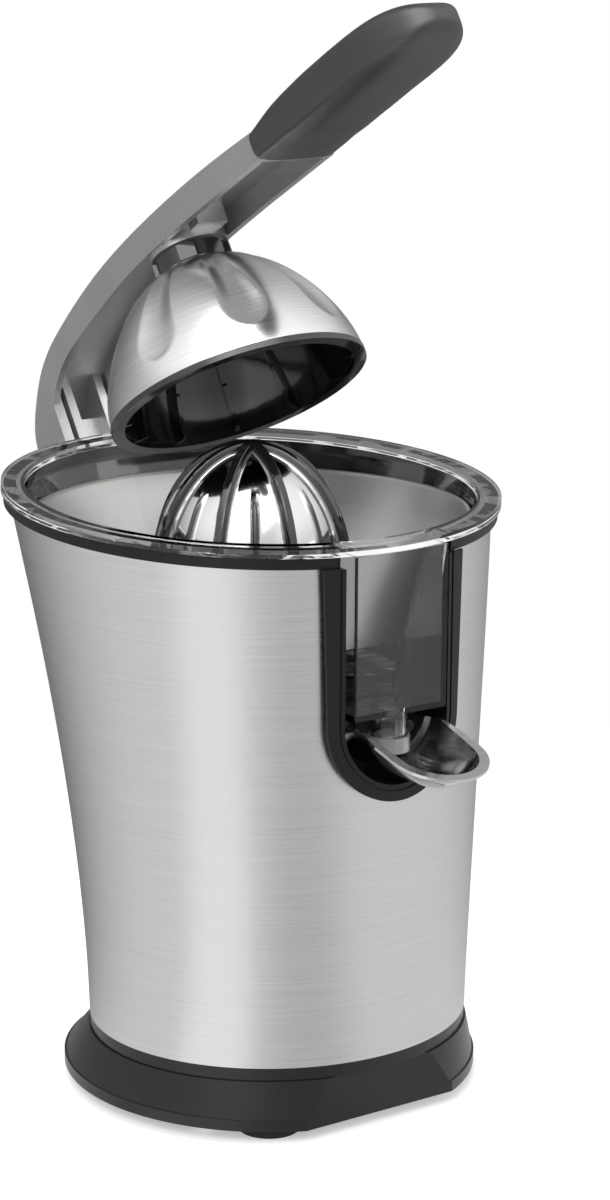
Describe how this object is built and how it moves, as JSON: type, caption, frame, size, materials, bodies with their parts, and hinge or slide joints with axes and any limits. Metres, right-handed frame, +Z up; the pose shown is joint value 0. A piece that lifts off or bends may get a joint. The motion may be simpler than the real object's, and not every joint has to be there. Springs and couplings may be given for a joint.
{
  "type": "lever citrus juice press",
  "caption": "Electric lever citrus press: tapered steel housing, clear juice collector, ribbed reamer, hinged arm with a dented steel dome and a drip-stop spout.",
  "frame": {"origin": "on the table under the reamer's axis, at the underside of the feet", "axes": "+Z up along the reamer's axis, the juice spout points to -Y, the lever's hinge is at +Y"},
  "size_m": [0.196, 0.2733, 0.4291],
  "materials": {
    "brushed_steel": "satin",
    "zinc_steel": "satin",
    "black_plastic": "matte",
    "grey_plastic": "matte",
    "white_plastic": "matte",
    "gloss_black": "gloss",
    "clear_plastic": "gloss",
    "silicone": "matte",
    "rubber": "matte",
    "soft_grip": "matte",
    "silver_paint": "satin",
    "bronze": "satin"
  },
  "bodies": {
    "housing": {"base_plinth": "black_plastic", "base_plate": "black_plastic", "base_feet": "rubber", "base_screws": "zinc_steel", "leg_screws": "zinc_steel", "cord_gland": "rubber", "housing_shell": "brushed_steel", "rim_band": "black_plastic", "spout_surround": "black_plastic", "inner_tub": "black_plastic", "gearbox_case": "grey_plastic", "gearbox_cover": "grey_plastic", "idler_pin": "zinc_steel", "motor_can": "zinc_steel", "shaft_bush": "bronze", "shaft_seal": "rubber", "start_switch": "black_plastic", "hinge_bracket": "zinc_steel", "hinge_cover": "black_plastic", "bracket_screws": "zinc_steel", "juice_collector": "clear_plastic", "collector_beak": "clear_plastic", "outlet_seal": "silicone", "strainer": "brushed_steel", "strainer_floor": "brushed_steel"},
    "spout_body": {"spout": "brushed_steel", "spout_carrier": "black_plastic", "spout_pins": "zinc_steel"},
    "motor_body": {"motor_rotor": "zinc_steel", "motor_pinion": "bronze"},
    "idler_body": {"idler_gear": "white_plastic"},
    "plunger_body": {"press_plunger": "white_plastic", "return_spring": "zinc_steel"},
    "spindle_body": {"drive_shaft": "zinc_steel", "output_gear": "white_plastic", "reamer_cone": "gloss_black"},
    "lever_body": {"lever_arm": "silver_paint", "lever_grip": "soft_grip", "hinge_pin": "zinc_steel", "dome_shell": "brushed_steel", "dome_ring": "black_plastic", "dome_liner": "gloss_black", "dome_collar": "gloss_black", "dome_bolt": "zinc_steel"}
  },
  "joints": [
    {"name": "lever_hinge", "type": "hinge", "parent": "housing", "child": "lever_body", "pos_m": [0, 0.114, 0.227], "axis": [1, 0, 0], "range_deg": [-25, 31]},
    {"name": "spout_pivot", "type": "hinge", "parent": "housing", "child": "spout_body", "pos_m": [0, -0.084, 0.158], "axis": [1, 0, 0], "range_deg": [-12, 0]},
    {"name": "reamer_press", "type": "slide", "parent": "housing", "child": "plunger_body", "axis": [0, 0, 1], "range_m": [-0.003, 0], "stiffness_N_per_m": 2000, "springref_m": 0.004, "deforming": ["return_spring"]},
    {"name": "reamer_spin", "type": "hinge", "parent": "plunger_body", "child": "spindle_body", "pos_m": [0, 0, 0.2], "axis": [0, 0, 1], "continuous": true},
    {"name": "idler_spin", "type": "hinge", "parent": "housing", "child": "idler_body", "pos_m": [0, -0.026, 0.14], "axis": [0, 0, 1], "continuous": true},
    {"name": "motor_spin", "type": "hinge", "parent": "housing", "child": "motor_body", "pos_m": [0, -0.05, 0.1], "axis": [0, 0, 1], "continuous": true}
  ],
  "couplings": [
    {"joint": "idler_spin", "follows": "reamer_spin", "ratio": -2.7143},
    {"joint": "motor_spin", "follows": "reamer_spin", "ratio": 10.314}
  ]
}
